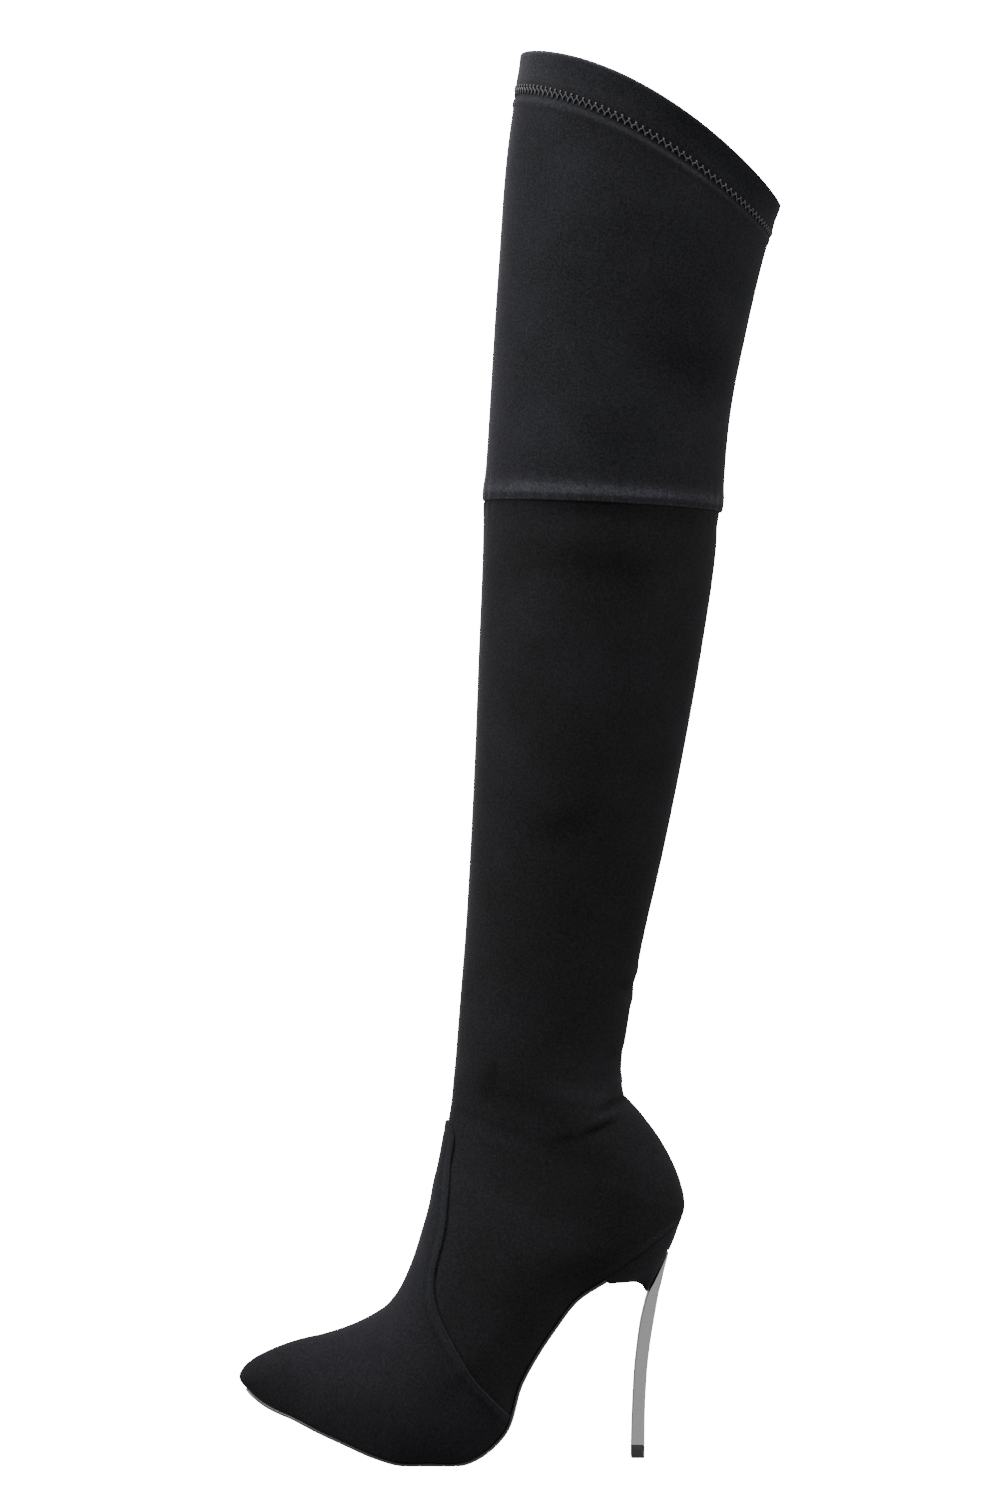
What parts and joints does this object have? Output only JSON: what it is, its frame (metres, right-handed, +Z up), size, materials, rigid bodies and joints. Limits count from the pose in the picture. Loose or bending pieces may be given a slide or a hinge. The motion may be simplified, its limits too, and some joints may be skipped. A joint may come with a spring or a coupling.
{
  "type": "thigh high boot",
  "caption": "Left over-the-knee sock boot in black suede-like stretch cloth, with a pointed toe and a thin curved metal heel.",
  "frame": {"origin": "on the floor, under the middle of the boot's box", "axes": "+Z up the shaft, -X towards the toe, -Y towards the outer side of the left foot"},
  "size_m": [0.2762, 0.1192, 0.7156],
  "materials": {
    "stretch_suede": "matt napped stretch cloth",
    "vamp_suede": "matt napped cloth on a stiffer backing",
    "insole_board": "matt",
    "sole_leather": "smooth, tan underneath with a black edge",
    "block_suede": "moulded block wrapped in matt napped cloth",
    "plated_steel": "plated and polished",
    "lift_rubber": "moulded"
  },
  "bodies": {
    "root": {"upper": "stretch_suede", "vamp": "vamp_suede", "insole": "insole_board", "outsole": "sole_leather", "heel_block": "block_suede", "heel_blade": "plated_steel", "top_lift": "lift_rubber"}
  },
  "joints": []
}
